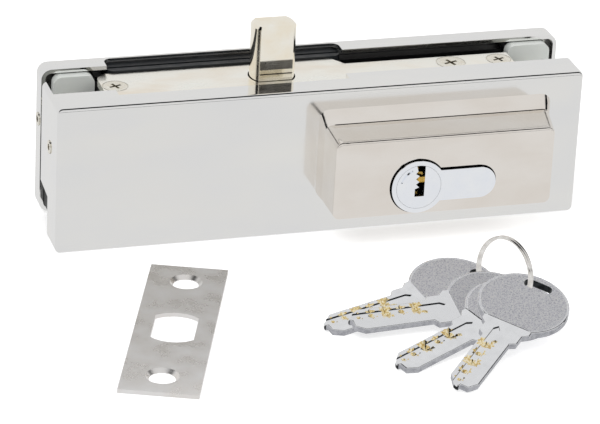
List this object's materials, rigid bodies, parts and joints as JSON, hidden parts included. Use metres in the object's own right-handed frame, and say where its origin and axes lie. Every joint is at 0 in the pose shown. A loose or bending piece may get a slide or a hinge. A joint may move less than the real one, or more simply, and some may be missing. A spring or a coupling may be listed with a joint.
{
  "type": "glass door corner lock",
  "caption": "Clamp-on corner lock for a frameless glass door, with a half cylinder in a raised housing, a square-headed sliding bolt, a strike plate and a ring of dimple keys.",
  "frame": {"origin": "middle of the lock's base edge, on the middle plane of the glass", "axes": "+X along the lock towards the cylinder's tail, +Y from the front cover to the rear cover, +Z along the bolt as it comes out"},
  "size_m": [0.1693, 0.1456, 0.0631],
  "materials": {
    "polished_stainless": "mirror-polished stainless sheet",
    "polished_strip": "polished steel strip",
    "cast_aluminium": "as-cast, pale",
    "black_rubber": "smooth moulded",
    "black_steel": "black painted sheet steel",
    "zinc_steel": "zinc-plated steel",
    "nickel_bolt": "nickel-plated brass, satin polished",
    "plain_steel": "plain steel",
    "cast_zinc": "zinc casting",
    "cylinder_chrome": "chrome-plated brass",
    "pin_brass": "turned brass",
    "strike_steel": "brushed stainless",
    "key_nickel": "nickel-plated brass, head grained",
    "ring_steel": "polished spring wire"
  },
  "bodies": {
    "lock": {"front_cover": "polished_stainless", "rear_cover": "polished_stainless", "cylinder_housing": "polished_stainless", "forend_strip": "polished_strip", "front_clamp_plate": "cast_aluminium", "rear_clamp_plate": "cast_aluminium", "front_gasket": "black_rubber", "rear_gasket": "black_rubber", "notch_seal": "black_rubber", "clamp_screws": "zinc_steel", "front_grub_screws": "zinc_steel", "rear_grub_screws": "zinc_steel", "housing_screws": "zinc_steel", "lock_case": "black_steel", "case_cover": "black_steel", "case_screws": "zinc_steel", "forend_screws": "zinc_steel", "cylinder_screw": "zinc_steel", "cylinder_body": "cylinder_chrome", "driver_pins": "plain_steel", "pin_springs": "plain_steel", "bolt_guide": "cast_zinc", "friction_spring": "plain_steel"},
    "plug": {"cylinder_plug": "cylinder_chrome", "key_pins": "pin_brass", "cylinder_cam": "plain_steel", "plug_clip": "plain_steel"},
    "bolt": {"bolt_head": "nickel_bolt", "bolt_tail": "plain_steel", "bolt_rivet": "plain_steel"},
    "strike": {"strike_plate": "strike_steel"},
    "key_set": {"key_1": "key_nickel", "key_2": "key_nickel", "key_3": "key_nickel", "key_4": "key_nickel", "key_ring": "ring_steel"}
  },
  "joints": [
    {"name": "plug_turn", "type": "hinge", "parent": "lock", "child": "plug", "pos_m": [0.025, 0, 0.021], "axis": [0, -1, 0], "range_deg": [0, 110]},
    {"name": "bolt_slide", "type": "slide", "parent": "lock", "child": "bolt", "axis": [0, 0, -1], "range_m": [0, 0.0175]},
    {"name": "strike_lift", "type": "slide", "parent": "lock", "child": "strike", "axis": [0, 0, 1], "range_m": [0, 0.06]},
    {"name": "keys_lift", "type": "slide", "parent": "lock", "child": "key_set", "axis": [0, 0, 1], "range_m": [0, 0.06]}
  ],
  "couplings": [
    {"joint": "plug_turn", "follows": "bolt_slide", "rad_per_m": 101.22}
  ]
}
